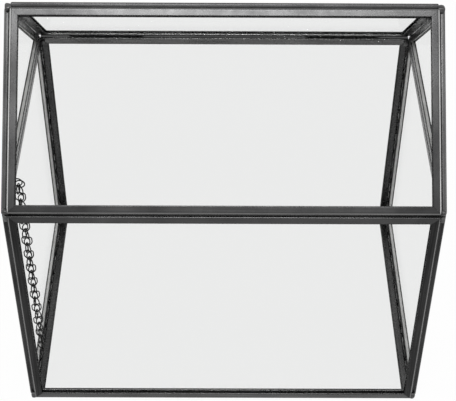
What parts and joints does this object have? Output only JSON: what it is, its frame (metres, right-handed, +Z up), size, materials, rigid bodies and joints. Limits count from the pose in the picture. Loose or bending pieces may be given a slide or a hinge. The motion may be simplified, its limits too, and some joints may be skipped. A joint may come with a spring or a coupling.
{
  "type": "glass terrarium",
  "caption": "House-shaped clear glass terrarium box in dark metal cames, with a hinged gable-roof lid and a chain inside that limits how far it opens.",
  "frame": {"origin": "on the table, under the centre of the whole object's box", "axes": "+X along the ridge to the right, +Y to the back where the lid is hinged, +Z up"},
  "size_m": [0.206, 0.1468, 0.2041],
  "materials": {
    "came": "dark patina, satin",
    "glass": "clear polished",
    "hinge": "dark patina, satin",
    "chain": "blackened, satin"
  },
  "bodies": {
    "root": {"back_bottom_came": "came", "back_glass": "glass", "back_left_came": "came", "back_right_came": "came", "back_top_came": "came", "chain_ring_body": "chain", "floor_back_came": "came", "floor_front_came": "came", "floor_glass": "glass", "floor_left_came": "came", "floor_right_came": "came", "front_bottom_came": "came", "front_glass": "glass", "front_left_came": "came", "front_right_came": "came", "front_top_came": "came", "hinge_left_pin": "hinge", "hinge_left_wall_knuckle_1": "hinge", "hinge_left_wall_knuckle_2": "hinge", "hinge_right_pin": "hinge", "hinge_right_wall_knuckle_1": "hinge", "hinge_right_wall_knuckle_2": "hinge", "left_back_came": "came", "left_bottom_came": "came", "left_front_came": "came", "left_glass": "glass", "left_top_came": "came", "right_back_came": "came", "right_bottom_came": "came", "right_front_came": "came", "right_glass": "glass", "right_top_came": "came"},
    "lid": {"chain_ring_lid": "chain", "gable_left_back_came": "came", "gable_left_base_came": "came", "gable_left_front_came": "came", "gable_left_glass": "glass", "gable_right_back_came": "came", "gable_right_base_came": "came", "gable_right_front_came": "came", "gable_right_glass": "glass", "hinge_left_lid_knuckle": "hinge", "hinge_right_lid_knuckle": "hinge", "roof_back_eave_came": "came", "roof_back_glass": "glass", "roof_back_left_came": "came", "roof_back_ridge_came": "came", "roof_back_right_came": "came", "roof_front_eave_came": "came", "roof_front_glass": "glass", "roof_front_left_came": "came", "roof_front_ridge_came": "came", "roof_front_right_came": "came"},
    "chain_lid": {"chain_strand_lid": "chain"},
    "chain_body": {"chain_strand_body": "chain"}
  },
  "joints": [
    {"name": "lid_hinge", "type": "hinge", "parent": "root", "child": "lid", "pos_m": [0, 0.07215, 0.13706], "axis": [-1, 0, 0], "range_deg": [0, 145]},
    {"name": "chain_lid_swing", "type": "hinge", "parent": "lid", "child": "chain_lid", "pos_m": [-0.0972, -0.05291, 0.1374], "axis": [-1, 0, 0], "range_deg": [-74.1, 0]},
    {"name": "chain_body_swing", "type": "hinge", "parent": "root", "child": "chain_body", "pos_m": [-0.0972, -0.04791, 0.1318], "axis": [-1, 0, 0], "range_deg": [-109.1, 0]}
  ],
  "couplings": [
    {"joint": "chain_lid_swing", "follows": "lid_hinge", "ratio": -0.5104},
    {"joint": "chain_body_swing", "follows": "lid_hinge", "ratio": -0.75178}
  ]
}
